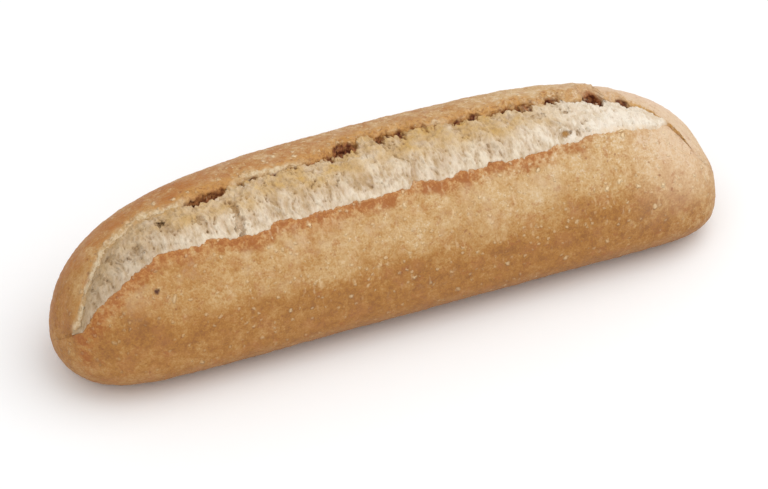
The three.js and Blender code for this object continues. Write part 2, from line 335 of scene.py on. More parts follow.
def build_sleeve(name, rings, layers, relief):
    """A closed mesh from rings of (point in mm, marks), pushed along its normals by relief(point, marks)."""
    columns, rows = len(rings) - 1, len(rings[0])
    shape = bmesh.new()
    bmesh.ops.create_grid(shape, x_segments=columns, y_segments=rows, size=0.5)
    mark_layers = {layer: shape.verts.layers.float.new(layer) for layer in layers}
    relief_layer = shape.verts.layers.float.new("relief")
    for vert in shape.verts:
        column = round((vert.co.x + 0.5) * columns)
        row = round((vert.co.y + 0.5) * rows) % rows
        point, marks = rings[column][row]
        vert.co = point
        for layer, mark in zip(mark_layers.values(), marks):
            vert[layer] = mark
    bmesh.ops.remove_doubles(shape, verts=shape.verts, dist=MERGE_DISTANCE)
    bmesh.ops.recalc_face_normals(shape, faces=shape.faces)
    shape.normal_update()
    pushes = []
    for vert in shape.verts:
        pushes.append(relief(vert.co, {mark: vert[layer] for mark, layer in mark_layers.items()}))
    for vert, push in zip(shape.verts, pushes):
        vert[relief_layer] = push
        vert.co += vert.normal * push
    bmesh.ops.scale(shape, vec=(MM, MM, MM), verts=shape.verts)
    for face in shape.faces:
        face.smooth = True
    mesh = bpy.data.meshes.new(name)
    shape.to_mesh(mesh)
    shape.free()
    piece = bpy.data.objects.new(name, mesh)
    bpy.context.scene.collection.objects.link(piece)
    triangles = sum(len(polygon.vertices) - 2 for polygon in mesh.polygons)
    print(f"{name}: {len(mesh.vertices)} points, {triangles} triangles")
    return piece


def smooth_path(path, counts):
    """Rows along a rounded path of (y, lift, marks...), counts[i] of them from its point i on."""
    rows = []
    for i, count in enumerate(counts):
        a = path[max(i - 1, 0)]
        b, c = path[i], path[i + 1]
        d = path[min(i + 2, len(path) - 1)]
        for step in range(count):
            t = step / count
            row = []
            for p, q, r, s in zip(a, b, c, d):
                squared = (2 * p - 5 * q + 4 * r - s) * t * t
                cubed = (3 * q - p - 3 * r + s) * t**3
                row.append((2 * q + (r - p) * t + squared + cubed) / 2)
            rows.append(row)
    return rows


def ridges(point, size, sharpness):
    """The thin walls between round cells about size millimetres wide: 1 on a wall and 0 inside a cell."""
    near, next_near = noise.voronoi(point / size)[0][:2]
    return 1 - ease(next_near - near, 0, sharpness)


# %% [markdown]
# ## The crust
#
# The crust piece is the whole outer skin. Where the score is open it dips into a trough, in which
# the crumb will lie. At the ear it folds back over itself, so that the ear has a real thick edge. It
# is important that the piece is closed: an open sheet has no inside, and can't be weighed or printed.
#
# Its layers say how near a point is to the browned rim and to the ear, how pale the torn face of the
# ear is, and how deep a point hides under the ear.

# %% Across the score
RIM_LIFT = 0.35
RIM_MARGIN = 1.2  # how far before the rim its path starts
RIM_GLOW = 4.5  # how far the browning reaches from the front rim
EAR_GLOW = 3.5
EAR_REST = 0.2  # what is left of the ear's mark where its path ends
TROUGH_DEPTH = 1.7  # room under the crumb
SCORE_COUNTS = (4, 4, 2, 2, 1, 2, 2, 1, 5, 5, 5, 4, 3, 3, 3)  # rows from each point of the path to the next


def crust_score_path(score):
    """The crust's path across the score, as (y, lift, rim, ear, pale, deep)."""
    front, ear, face, lip, pale = score.front, score.ear, score.face, score.lip, score.pale
    near_rim = math.exp(-RIM_MARGIN / RIM_GLOW)
    bottom = -score.floor - TROUGH_DEPTH
    path = [
        # Up the rim, over its edge and down.
        (front - RIM_WIDTH - RIM_MARGIN, 0, near_rim**2, 0, 0, 0),
        (front - 0.9, 0.7 * RIM_LIFT, near_rim, 0, 0, 0),
        (front - 0.12, RIM_LIFT, 1, 0, 0, 0),
        (front + 0.08, RIM_LIFT - 0.3, 1, 0, 0, 0.1),
        (front - 0.1, -0.6, 1, 0, 0, 0.6),
        # Along the trough.
        (front + 0.5, bottom, 1, 0, 0, 1),
        ((front + ear) / 2, bottom - 0.4, 0, 0, 0, 1),
        (ear - 0.75, bottom, 0, 1, pale, 1),
        # Up the ear's torn face.
        (ear - 0.6, -score.floor - 0.7, 0, 1, pale, 1),
        (ear - 0.4, lerp(-score.floor, -0.3, 0.4) - 0.4, 0, 1, pale, 1),
        (ear - 0.1, -0.45, 0, 1, pale, 0.62),
        (ear + 0.35 * face, 0.45 * lip, 0, 1, pale, 0.12),
        # Over its lip and back onto the loaf.
        (ear + 0.75 * face, 0.9 * lip, 0, 0.95, 0.7 * pale, 0),
        (ear + face + 0.3, lip, 0, 0.85, 0.35 * pale, 0),
        (ear + face + 1.3, 0.95 * lip, 0, 0.5, 0.1 * pale, 0),
        (ear + face + EAR_SLOPE, 0.7 * lip, 0, EAR_REST, 0, 0),
    ]
    faded = []
    for *sizes, deep in path:
        y, *fading = sizes
        faded.append((y, *(size * score.fade for size in fading), deep * min(1, score.depth) * score.fade))
    return faded


# %% Once round the loaf
BASE_ROWS = 5
LOWER_ROWS = 10
FRONT_ROWS = 56
BACK_ROWS = 44
SETTLE_SHARE = 0.3  # the share of the back's rows over which the ear's lift settles
PLAIN = (0, 0, 0, 0)


def crust_ring(station):
    """Points and marks once round the loaf, from the middle of its base."""
    floor_sine = min(BELLY_HEIGHT / max(station.tuck, TINY), 1) ** (TUCK_POWER / 2)
    floor_angle = math.asin(floor_sine)
    front_edge = lower_point(station, -1, floor_angle)
    back_edge = lower_point(station, 1, floor_angle)
    base_middle = Vector((station.x, station.middle, front_edge.z))
    score = score_at(station)
    path = crust_score_path(score)
    rows = smooth_path(path, SCORE_COUNTS) + [path[-1]]
    ring = [(base_middle.lerp(front_edge, i / BASE_ROWS), PLAIN) for i in range(BASE_ROWS)]
    for i in range(LOWER_ROWS, 0, -1):
        ring.append((lower_point(station, -1, floor_angle * i / LOWER_ROWS), PLAIN))
    first = angle_over(station, score, rows[0][0])
    first_point = dome_point(station, first, 0)
    for i in range(FRONT_ROWS):
        point = dome_point(station, lerp(-math.pi / 2, first, i / FRONT_ROWS), 0)
        rim = math.exp(-((point - first_point).length + 2 * RIM_MARGIN) / RIM_GLOW) * score.fade
        ring.append((point, (rim, 0, 0, 0)))
    for y, lift, *marks in rows:
        ring.append((lay(station, score, y, lift), marks))
    last = angle_over(station, score, rows[-1][0])
    last_point = dome_point(station, last, 0)
    for i in range(1, BACK_ROWS + 1):
        settle = rows[-1][1] * (1 - ease(i, 0, SETTLE_SHARE * BACK_ROWS))
        point = dome_point(station, lerp(last, math.pi / 2, i / BACK_ROWS), settle)
        near_ear = EAR_REST * math.exp(-(point - last_point).length / EAR_GLOW) * score.fade
        ring.append((point, (0, near_ear, 0, 0)))
    for i in range(1, LOWER_ROWS + 1):
        ring.append((lower_point(station, 1, floor_angle * i / LOWER_ROWS), PLAIN))
    for i in range(BASE_ROWS - 1, 0, -1):
        ring.append((base_middle.lerp(back_edge, i / BASE_ROWS), PLAIN))
    return ring


# %% The skin's relief
def crust_relief(point, marks):
    """Fine unevenness of the skin, in millimetres. The flat base stays smooth."""
    stand = ease(point.z, 0.1, 3)
    blotches = 0.2 * noise.noise(point / 6)
    dimples = 0.13 * noise.fractal(point / 1.6, 0.9, 2, 3)
    crease = abs(noise.noise(Vector((point.x / 7, point.y / 2.2, point.z / 2.2))))
    wrinkles = -0.16 * max(0, 1 - crease / 0.09) * ease(noise.noise(point / 13), 0, 0.3)
    torn = ease(marks["ear"], 0.5, 1)
    crags = 0.35 * noise.noise(point / 0.8) + 0.45 * noise.noise(point / 1.9) + 0.25 * ridges(point, 1.7, 0.4)
    return stand * (blotches + dimples + wrinkles + torn * crags)


# %% Stations at even steps along the outline
FINE_STEPS = 6000


def stations_along(steps):
    fine = []
    for i in range(FINE_STEPS + 1):
        fine.append(station_at(LENGTH / 2 * math.sin(math.pi * (i / FINE_STEPS - 0.5))))
    travelled = [0]
    for one, two in zip(fine, fine[1:]):
        travelled.append(travelled[-1] + math.hypot(two.x - one.x, two.front - one.front))
    chosen, at = [], 0
    for i in range(steps + 1):
        while travelled[at] < travelled[-1] * i / steps - TINY:
            at += 1
        chosen.append(fine[at])
    return chosen


# %% Making the crust
COLUMNS_OF_CRUST = 540
crust_rings = [crust_ring(station) for station in stations_along(COLUMNS_OF_CRUST)]
crust = build_sleeve("crust", crust_rings, ("rim", "ear", "pale", "deep"), crust_relief)

# %% [markdown]
# ## The crumb
#
# Where dough tears, its gluten is pulled into fine strands that run across the tear. Between the
# strands there are pits and burst bubbles. A texture could only paint these. Since they are what
# the eye goes to first, we model them: a sleeve with points every fifth of a millimetre, shaped by
# stretched noise.
#
# The crumb's path starts under the front rim, crosses the strip, dips into the caves and ends under
# the ear. Its underside is hidden in the trough and needs only a few rows.

# %% Bubbles and a fold
# Bubbles torn open in the crumb: x, y, radius, depth, and how browned they are from 0 to 1.
BUBBLES = [
    (-88, -11.5, 2.2, 0.8, 0), (-83, -8, 1.3, 0.9, 0.1), (-76.5, -11, 2.6, 1.4, 0),
    (-68, -5.5, 1.2, 1, 0.12), (-57, -9, 1.9, 1, 0), (-18, -8.5, 2.4, 0.8, 0), (29, -11, 2.2, 0.7, 0),
    (47, -4, 2, 0.8, 0), (52, -11.5, 1.8, 1.1, 0.3), (55, -4.5, 0.9, 0.9, 0.12),
    (59, -11.5, 0.9, 0.8, 0.12),
]
BUBBLE_STRETCH = 1.5  # bubbles are this much longer along the loaf than across it
BRIM_SHARE = 0.2  # how high a torn bubble's brim stands, as a share of its depth
BRIM_WIDTH = 0.4
FOLD_X = -46.5  # the dough folded over itself here, across the front of the strip
FOLD_HALF_WIDTH = 1.1
FOLD_DEPTH = 1.6
FOLD_BROWNING = 0.1


def strip_noise(x, y, length, width, row):
    """Blender's noise on the strip, in patches of a length along the loaf and a width across it."""
    return noise.noise(Vector((x / length, y / width, row)))


def burst(x, y, across):
    """How deep the fold and the bubbles are at a point, how browned, and how high their brims stand."""
    wander = 1.1 * strip_noise(x, y, 1.4, 1.1, 14) + 0.7 * strip_noise(x, y, 0.5, 0.5, 15)
    hole = FOLD_DEPTH * roundness(x - FOLD_X + wander, FOLD_HALF_WIDTH) * (1 - ease(across, 0.4, 0.75))
    browned, brim = FOLD_BROWNING * hole, 0
    for bubble_x, bubble_y, radius, depth, brown in BUBBLES:
        away = math.hypot(x - bubble_x + wander, BUBBLE_STRETCH * (y - bubble_y))
        dip = depth * roundness(away, radius)
        hole = max(hole, dip)
        browned = max(browned, dip * brown)
        brim = max(brim, BRIM_SHARE * depth * math.exp(-(((away - radius) / BRIM_WIDTH) ** 2)))
    return hole, browned, brim


# %% Rows of the crumb
CRUMB_START = -97.6
CRUMB_END = 91.6
COLUMNS_OF_CRUMB = 900
STRIP_ROWS = 92
TUCKED_COUNTS = (2, 1, 4)
CRUMB_SWELL = 1.3
SAG = 0.6  # the share of the swell that is lost in front of a cave
FRONT_EDGE_LIFT = 0.42
BROWN_EDGE_LIFT = -0.5  # the crumb's back edge under a browned ear
PALE_EDGE_LIFT = 0.25  # and under a pale one
LUMP_HEIGHT = 0.4
WEB_SHARE = 0.6  # how much of a cave's depth a web of dough fills
SINK = 1.6  # how far the crumb dives under the crust at both ends


def strip_point(x, i, score):
    """One point across the strip, as (y, lift, cave, across): a soft swell, burst bubbles and caves."""
    across = (i + 0.5) / STRIP_ROWS
    y = lerp(score.front + 0.1, score.ear + 0.25, across)
    sag = SAG * min(1, score.depth) * ease(across, 0.35, 0.8)
    swell = CRUMB_SWELL * math.sin(math.pi * across) ** 0.8 * (1 - sag)
    edges = lerp(FRONT_EDGE_LIFT, lerp(BROWN_EDGE_LIFT, PALE_EDGE_LIFT, score.pale), across)
    lumps = LUMP_HEIGHT * waves(x, 2 * y, 4) * ease(across, -0.02, 0.1)
    hole, browned, brim = burst(x, y, across)
    in_mouth = ease(y, score.ear - score.mouth - 0.1, score.ear - 0.65 * score.mouth)
    webs = ease(strip_noise(x, y, 0.8, 2.5, 6), 0.1, 0.5)
    cave = score.depth * in_mouth * (1 - WEB_SHARE * webs)
    return y, swell + edges + lumps + brim - hole - CAVE_DEPTH * cave, max(cave, browned), across


def crumb_ring(x):
    station = station_at(x)
    score = score_at(station)
    front, ear, depth = score.front, score.ear, score.depth
    underside = -score.floor - TROUGH_DEPTH + 0.3
    strip = [strip_point(x, i, score) for i in range(STRIP_ROWS)]
    tucked = [
        strip[-1],
        (ear + 0.7, -score.floor - 0.9, depth, 1),
        (ear + 0.4, underside, depth, 1),
        (front + 0.6, underside, 0, 0),
    ]
    under_rim = [(front - 0.5, -1.2, 0, 0), (front - 0.25, 0, 0, 0)]
    rows = under_rim + strip[:-1] + smooth_path(tucked, TUCKED_COUNTS) + [tucked[-1]]
    sink = SINK * (1 - score.fade)
    return [(lay(station, score, y, lift * score.fade - sink), marks) for y, lift, *marks in rows]


# %% The relief of torn dough
FIBRE_SLANT = 0.22  # how far the strands drift along the loaf for each millimetre across it
STRAND_HEIGHTS = (0.1, 0.29)  # at the back of the strip and in its front third
CRUMBLY_HEIGHTS = (0.33, 0.2)


def crumb_relief(point, marks):
    """Lumps, strands, cells and pores of torn dough, in millimetres."""
    x, y, z = point
    across = marks["across"]
    front_third = 1 - ease(across, 0.25, 0.6)
    warp = strip_noise(x, y, 5, 4, 3)
    along = x + 1.6 * warp + FIBRE_SLANT * y
    folds = 0.6 * noise.noise(Vector((x / 4.2 + 0.08 * y, y / 18, 12)))
    lumps = 0.45 * strip_noise(x, y, 3.6, 4.2, 2) + 0.22 * strip_noise(along, y, 1.3, 3.2, 4)
    fibres = noise.fractal(Vector((along / 0.7, y / 3.8, 1)), 0.9, 2.1, 3)
    strands = lerp(*STRAND_HEIGHTS, front_third) * fibres
    big_cells = ridges(Vector((along, 0.6 * y + 1.2 * warp, 0)), 3.8, 0.22)
    small_cells = ridges(Vector((along, 0.7 * y, 9)), 1.5, 0.3)
    cells = 0.36 * big_cells * ease(strip_noise(x, y, 6, 5, 7), -0.25, 0.2) + 0.13 * small_cells
    crumbly = lerp(*CRUMBLY_HEIGHTS, front_third) * noise.fractal(point / 0.9, 0.8, 2, 2)
    slit = abs(strip_noise(along, y, 1.5, 5, 8))
    slits = -0.5 * max(0, 1 - slit / 0.1) * ease(strip_noise(x, y, 2.6, 2.5, 5), 0, 0.3)
    pore = noise.voronoi(Vector((x / 1.7, y / 2.2, z / 3)))[0][0]
    pores = -0.6 * ease(0.28 - pore, 0, 0.28)
    calm = lerp(0.25, 1, ease(across, 0, 0.1))
    return calm * (folds + lumps + strands + cells + crumbly + slits + pores - 0.1)


# %% Making the crumb
def make_crumb_rings():
    rings = []
    for i in range(COLUMNS_OF_CRUMB + 1):
        ring = crumb_ring(lerp(CRUMB_START, CRUMB_END, i / COLUMNS_OF_CRUMB))
        if i in (0, COLUMNS_OF_CRUMB):
            centre = sum((point for point, marks in ring), Vector()) / len(ring)
            ring = [(centre, marks) for point, marks in ring]
        rings.append(ring)
    return rings


crumb = build_sleeve("crumb", make_crumb_rings(), ("cave", "across"), crumb_relief)

# %% [markdown]
# ## Materials
#
# Shader nodes are easier to read as sums than as boxes. The class below wraps the output of a node,
# so that `1 - mask * 2` adds the two Math nodes it needs. Its `node` method adds any node from its
# type, its settings and the values or links of its sockets, and the other methods are short ways to
# call it.


# %% A node's output as a value
class Wire:
    """An output socket that can be used in sums."""

    def __init__(self, tree, socket=None):
        self.tree = tree
        self.socket = socket

    def node(self, kind, settings=None, output=0, **inputs):
        """Adds a node and gives one output. Sockets are named with _ for a space, or s0, s1 by place."""
        made = self.tree.nodes.new(kind)
        for name, value in (settings or {}).items():
            if name == "stops":
                elements = made.color_ramp.elements
                while len(elements) < len(value):
                    elements.new(1)
                for element, (position, colour) in zip(elements, value):
                    element.position = position
                    element.color = colour
            else:
                setattr(made, name, value)
        for name, value in inputs.items():
            place = name[1:]
            by_place = name[0] == "s" and place.isdigit()
            socket = made.inputs[int(place) if by_place else name.replace("_", " ")]
            if isinstance(value, Wire):
                self.tree.links.new(value.socket, socket)
            else:
                socket.default_value = value
        return Wire(self.tree, made.outputs[output])

    def math(self, operation, one, two):
        return self.node("ShaderNodeMath", {"operation": operation}, s0=one, s1=two)

    def __add__(self, other):
        return self.math("ADD", self, other)

    def __sub__(self, other):
        return self.math("SUBTRACT", self, other)

    def __rsub__(self, other):
        return self.math("SUBTRACT", other, self)

    def __mul__(self, other):
        return self.math("MULTIPLY", self, other)

    __radd__ = __add__
    __rmul__ = __mul__

    def rise(self, low, high):
        """0 below low, 1 above high, and a soft rise between."""
        settings = {"interpolation_type": "SMOOTHSTEP"}
        return self.node("ShaderNodeMapRange", settings, Value=self, From_Min=low, From_Max=high)

    def mix(self, one, two):
        """Colour one where this value is 0, and colour two where it is 1."""
        settings = {"data_type": "RGBA", "clamp_factor": True}
        return self.node("ShaderNodeMix", settings, output=2, s0=self, s6=one, s7=two)


def shade(red, green, blue):
    """A colour given in the usual 0 to 255 steps, as the linear light that shaders use."""
    steps = [value / 255 for value in (red, green, blue)]
    return tuple(s / 12.92 if s <= 0.04045 else ((s + 0.055) / 1.055) ** 2.4 for s in steps) + (1,)


# %% Starting and feeding a material
def start_material(name, **constants):
    """A new Principled material: gives it, its shader node, and a Wire to start expressions from."""
    material = bpy.data.materials.new(name)
    material.use_nodes = True
    shader = material.node_tree.nodes["Principled BSDF"]
    for socket, value in constants.items():
        shader.inputs[socket.replace("_", " ")].default_value = value
    return material, shader, Wire(material.node_tree)


def feed(shader, **wires):
    for name, wire in wires.items():
        wire.tree.links.new(wire.socket, shader.inputs[name.replace("_", " ")])


# %% Places, marks and noise in a material
def place_in_mm(start):
    metres = start.node("ShaderNodeTexCoord", output="Object")
    return start.node("ShaderNodeVectorMath", {"operation": "SCALE"}, s0=metres, Scale=1 / MM)


def coordinate(place, axis):
    """A place's X, Y or Z."""
    return place.node("ShaderNodeSeparateXYZ", output=axis, s0=place)


def drawn_out(place, *shares):
    """The place with each axis shrunk to a share, so that a pattern on it is drawn out along that axis."""
    return place.node("ShaderNodeVectorMath", {"operation": "MULTIPLY"}, s0=place, s1=shares)


def layer(start, name):
    return start.node("ShaderNodeAttribute", {"attribute_name": name}, output="Fac")


def cloud(place, size, detail=2.0, seed=0.0, roughness=0.5):
    """Soft noise from 0 to 1 whose patches are about size millimetres wide."""
    settings = {"noise_dimensions": "4D"}
    return place.node(
        "ShaderNodeTexNoise", settings,
        Vector=place, W=seed, Scale=1 / size, Detail=detail, Roughness=roughness,
    )


def spots(place, size, radius, share, seed=0.0):
    """Uneven spots of a radius, one for each cell of a size, of which only a share is kept."""
    bend = place.node("ShaderNodeTexNoise", output=1, Vector=place, Scale=1 / (1.4 * radius), Detail=1.0)
    bent = place.node(
        "ShaderNodeVectorMath", {"operation": "MULTIPLY_ADD"}, s0=bend, s1=(1.6 * radius,) * 3, s2=place
    )
    moved = place.node("ShaderNodeVectorMath", {"operation": "ADD"}, s0=bent, s1=(seed, seed, seed))
    near = moved.node("ShaderNodeTexVoronoi", Vector=moved, Scale=1 / size)
    cell = moved.node("ShaderNodeTexVoronoi", output=1, Vector=moved, Scale=1 / size)
    lot = moved.node("ShaderNodeSeparateColor", s0=cell)
    return (1 - (near * size).rise(0.3 * radius, radius)) * lot.rise(1 - share, 1.05 - share)


# %% [markdown]
# ### Baked crust
#
# Crust colours by how hot and dry it got, so it is never one colour. Broad patches drift from honey
# to chestnut and the rim is darkest. The low sides and the left end are darker partly from browning
# and partly from painted shade, and the right end is pale partly from a painted highlight. On top of
# that come pale bran flecks, small blisters and a few burnt specks.
#
# Each tint takes a line or two: a mask says where it goes, and mixing by the mask lays it over what
# is there. A mask is a few soft rises along the loaf and some noise, so that no edge is straight.

# %% The crust's ground
Ground = namedtuple("Ground", "place x y z patches mottle speckle grain")
Marks = namedtuple("Marks", "rim ear pale deep")


def crust_ground(start):
    """Places in millimetres, and noise of four sizes around 0."""
    place = place_in_mm(start)
    x, y, z = (coordinate(place, axis) for axis in "XYZ")
    patches = cloud(place, 12, 3, seed=1) - 0.5
    mottle = cloud(place, 4, 4, seed=5, roughness=0.65) - 0.5
    speckle = cloud(place, 1.3, 3, seed=7, roughness=0.65) - 0.5
    grain = cloud(place, 0.5, 2, seed=9) - 0.5
    return Ground(place, x, y, z, patches, mottle, speckle, grain)


# %% How much the crust browned, with painted shade and a painted highlight
OVEN_COLOURS = [
    (0, shade(222, 198, 164)),
    (0.25, shade(206, 170, 120)),
    (0.5, shade(188, 142, 84)),
    (0.75, shade(170, 116, 52)),
    (1, shade(150, 98, 46)),
]
ROSY = shade(178, 118, 74)
LOW_CRUST_AND_SHADE = shade(148, 106, 70)
FLOURY = shade(226, 204, 172)
PALE_CRUST_AND_SHEEN = shade(223, 191, 161)
ORANGE = shade(176, 112, 52)


def oven_heat(ground):
    """How hot the skin got, from 0 where it stayed pale to 1 where it is chestnut. Low down and at the left
    end it is raised partly by painted shade, and at the upper right end it is lowered partly by a painted
    highlight.
    """
    x, z, mottle = ground.x, ground.z, ground.mottle
    # The low sides darken: partly browner crust, partly painted shade where less light falls.
    low = (1 - (z + ground.patches * 24 + mottle * 16).rise(22, 36)) * (1 - x.rise(74, 98) * 0.5)
    uneven = (mottle * 0.95 + ground.speckle * 0.9 + ground.grain * 0.6) * (x.rise(48, 72) * 0.3 + 1)
    # The left end darkens: partly browner crust, partly painted shade, because the light comes from the
    # right.
    left_browned_and_shaded = (1 - x.rise(-85, -18)) * z.rise(14, 26)
    # The upper right end pales: partly paler crust, partly a painted highlight from the light at the upper
    # right.
    right_pale_and_lit = x.rise(63, 90) * z.rise(14, 32)
    crown = z.rise(30, 42) * (1 - x.rise(15, 45))
    heat = low * (x.rise(-60, -20) * 0.08 + 0.43) + uneven + 0.28
    return heat + left_browned_and_shaded * 0.18 - right_pale_and_lit * 0.32 + crown * 0.13


def tint_skin(ground, colour):
    """Broad tints over the plain browning, with painted shade near the floor and a partly painted highlight
    on the right end.
    """
    place, x, y, z = ground.place, ground.x, ground.y, ground.z
    mottle, speckle = ground.mottle, ground.speckle
    rosy = cloud(place, 5, 3, seed=13).rise(0.5, 0.68)
    colour = (rosy * 0.26).mix(colour, ROSY)
    # Darker towards the floor: partly browner crust, partly painted shade.
    under = 1 - (z + mottle * 8).rise(4, 15)
    colour = (under * (x.rise(-90, -40) * 0.25 + 0.3)).mix(colour, LOW_CRUST_AND_SHADE)
    floury = (cloud(place, 7, 4, seed=31, roughness=0.65) + speckle * 0.3).rise(0.47, 0.72) * z.rise(24, 38)
    colour = (floury * (0.34 - x.rise(48, 68) * 0.26)).mix(colour, FLOURY)
    # Paler pinkish crust on the upper right end and the back right: partly paler crust, partly a painted
    # highlight.
    sheen_right_end = x.rise(61, 88) * z.rise(12, 32) * (y.rise(-6, 8) * 0.5 + 0.5)
    sheen_right_ear = x.rise(48, 70) * y.rise(-2, 6)
    colour = (sheen_right_end + sheen_right_ear * 0.35).mix(colour, PALE_CRUST_AND_SHEEN)
    orange = (1 - x.rise(8, 52)) * (y + mottle * 8).rise(-6, 4) * (1 - x.rise(-70, 10) * 0.45)
    return (orange * (mottle * 2.2 + speckle * 1.8 + ground.patches + 0.62)).mix(colour, ORANGE)


# %% The browned rim and the torn ear
TOASTED_RIM = shade(190, 126, 64)
SCORCHED_RIM = shade(162, 94, 38)
RIM_CRUMBS = shade(212, 168, 116)
GOLDEN_EAR = shade(200, 148, 82)
EAR_EDGE = shade(196, 146, 72)
EAR_CRANNIES = shade(146, 88, 42)
TORN_SHADED = shade(192, 158, 110)
TORN_PALE = shade(224, 203, 168)
CAVE_TOAST_AND_SHADE_DARK = shade(106, 52, 32)
CAVE_TOAST_AND_SHADE_LIGHT = shade(182, 120, 72)


def brown_edges(ground, marks, colour):
    """The scorched front rim, then the golden ear with its crannies and its pale torn face."""
    x, mottle, speckle = ground.x, ground.mottle, ground.speckle
    left_tip = 1 - x.rise(-92, -74)
    scorch = (marks.rim + left_tip * 0.3).rise(0.3, 0.95) * (1 - x.rise(38, 70) * 0.85)
    scorch = (scorch * (mottle * 3.2 + speckle * 2.4 + 1 - left_tip * 0.25)).rise(0, 0.95)
    burnt = (speckle + mottle * 0.7 + ground.grain * 0.35).rise(-0.16, 0.12)
    colour = (scorch * 0.88).mix(colour, burnt.mix(TOASTED_RIM, SCORCHED_RIM))
    golden = marks.ear.rise(0.15, 0.8) * (speckle * 2.6 + mottle + 0.6) * (1 - x.rise(44, 72) * 0.75)
    colour = golden.mix(colour, GOLDEN_EAR)
    edge_line = marks.ear.rise(0.94, 1) * x.rise(73, 80) * (speckle * 2 + 0.8)
    colour = edge_line.mix(colour, EAR_EDGE)
    crannies = marks.ear.rise(0.5, 0.9) * cloud(ground.place, 0.9, 2, seed=61).rise(0.52, 0.64)
    crannies = crannies * (1 - marks.pale) * (1 - x.rise(52, 72) * 0.8)
    colour = (crannies * 0.55).mix(colour, EAR_CRANNIES)
    torn_face = (speckle + mottle).rise(-0.2, 0.14).mix(TORN_SHADED, TORN_PALE)
    return (marks.pale.rise(0.1, 0.8) * (mottle * 2.4 + 0.8)).mix(colour, torn_face)


def open_caves(ground, marks, colour):
    """Crumbs that cling to the rim, and the dark insides of the caves and under the rim, partly toasted and
    partly painted shade.
    """
    speckle = ground.speckle
    clinging = marks.rim.rise(0.8, 1) * (speckle + ground.mottle * 0.5).rise(0, 0.12)
    colour = (clinging * 0.45).mix(colour, RIM_CRUMBS)
    pockets = cloud(ground.place, 1.3, 2, seed=21).rise(0.38, 0.62)
    # Cave insides and the crust under the rim: toasted brown darkened with painted shade, more where a point
    # lies deeper.
    cave_shade = (marks.deep + speckle * 0.8).rise(0.35, 0.8) * (ground.x.rise(-48, -30) * 0.25 + 0.75)
    return cave_shade.mix(colour, pockets.mix(CAVE_TOAST_AND_SHADE_DARK, CAVE_TOAST_AND_SHADE_LIGHT))


# %% Flecks and specks
REDDISH = shade(164, 98, 54)
PALE_STROKES = shade(230, 200, 158)
BRAN = shade(236, 207, 163)
BURNT = shade(134, 74, 40)
BLACK = shade(84, 46, 28)
SPECK_X = -74
SPECK_ANGLE = math.radians(-43.5)  # from the crown, towards the front
BURNT_SPECK = tuple(dome_point(station_at(SPECK_X), SPECK_ANGLE, 0))  # the loaf's one black speck
print("the black speck lies at", [round(size, 1) for size in BURNT_SPECK], "mm")


def strew_specks(ground, marks, flecks, colour):
    place, x, z = ground.place, ground.x, ground.z
    skin = 1 - marks.deep
    reddish = (cloud(place, 2.4, 3, seed=51) + ground.grain * 0.3).rise(0.58, 0.7)
    colour = (reddish * skin * 0.35).mix(colour, REDDISH)
    strokes = cloud(drawn_out(place, 1, 0.45, 0.45), 1.1, 1, seed=71).rise(0.56, 0.74)
    strokes = strokes * cloud(place, 9, 2, seed=73).rise(0.4, 0.6)
    colour = (strokes * skin * z.rise(12, 28) * x.rise(-66, -30) * 0.42).mix(colour, PALE_STROKES)
    shown = skin * (z.rise(8, 32) * 0.5 + 0.4) * (x.rise(-84, -45) * 0.6 + 0.4)
    colour = (flecks * shown).mix(colour, BRAN)
    burnt = spots(place, 7, 0.8, 0.25, seed=80) + spots(place, 3, 0.5, 0.4, seed=90)
    colour = (burnt * skin * 0.55).mix(colour, BURNT)
    from_speck = place.node(
        "ShaderNodeVectorMath", {"operation": "DISTANCE"}, output="Value", s0=place, s1=BURNT_SPECK
    )
    return (1 - (from_speck + ground.speckle * 2).rise(0.4, 1.15)).mix(colour, BLACK)


# %% The crust's material
def bake_crust():
    material, shader, start = start_material("baked_crust", Specular_IOR_Level=0.35)
    ground = crust_ground(start)
    marks = Marks(*(layer(start, name) for name in Marks._fields))
    flecks = spots(ground.place, 1.9, 0.65, 0.4) * 0.6 + spots(ground.place, 4.6, 1, 0.45, seed=40)
    colour = start.node("ShaderNodeValToRGB", {"stops": OVEN_COLOURS}, Fac=oven_heat(ground))
    colour = tint_skin(ground, colour)
    colour = brown_edges(ground, marks, colour)
    colour = open_caves(ground, marks, colour)
    colour = strew_specks(ground, marks, flecks, colour)
    height = ground.mottle * 0.4 + ground.speckle * 0.45 + ground.grain * 0.25 + flecks * 0.45
    bump = start.node("ShaderNodeBump", Strength=0.9, Distance=MM, Height=height)
    feed(shader, Base_Color=colour, Roughness=ground.patches * 0.25 + 0.6, Normal=bump)
    print(material.name, "has", len(material.node_tree.nodes), "nodes")
    return material


crust.data.materials.append(bake_crust())

# %% [markdown]
# ### Torn crumb
#
# Crumb is pale because it never dried out. Its back half is toasted yellow in patches, the strip's
# front is nearly white, and the caves under the ear are brown, partly toasted and partly painted shade.
# The relief layer from the mesh tells the material how deep a point lies, so painted shade follows the
# real pits. The left end is darkened with painted shade and the right end paled with painted light.

# %% The crumb's colours
# Each is given for the left and for the right of the loaf, whose paler cream is painted light.
CREAM_SHADED = (shade(190, 160, 122), shade(205, 182, 150))
CREAM_LIT = (shade(232, 216, 192), shade(240, 229, 212))
BLUSH = shade(222, 200, 180)
TOAST = shade(206, 166, 98)
PAINTED_PIT_SHADE = shade(150, 116, 76)
GOLDEN_CRUMB = shade(200, 158, 100)
PAINTED_SHADE_LEFT = shade(168, 142, 110)
BROWN_TIP = shade(194, 142, 66)
CAVE_BROW_TOAST_AND_SHADE = shade(180, 138, 84)
FRINGE = shade(218, 184, 138)
CRUMB_CAVE_TOAST_AND_SHADE_DARK = shade(106, 54, 34)
CRUMB_CAVE_TOAST_AND_SHADE_LIGHT = shade(180, 120, 78)


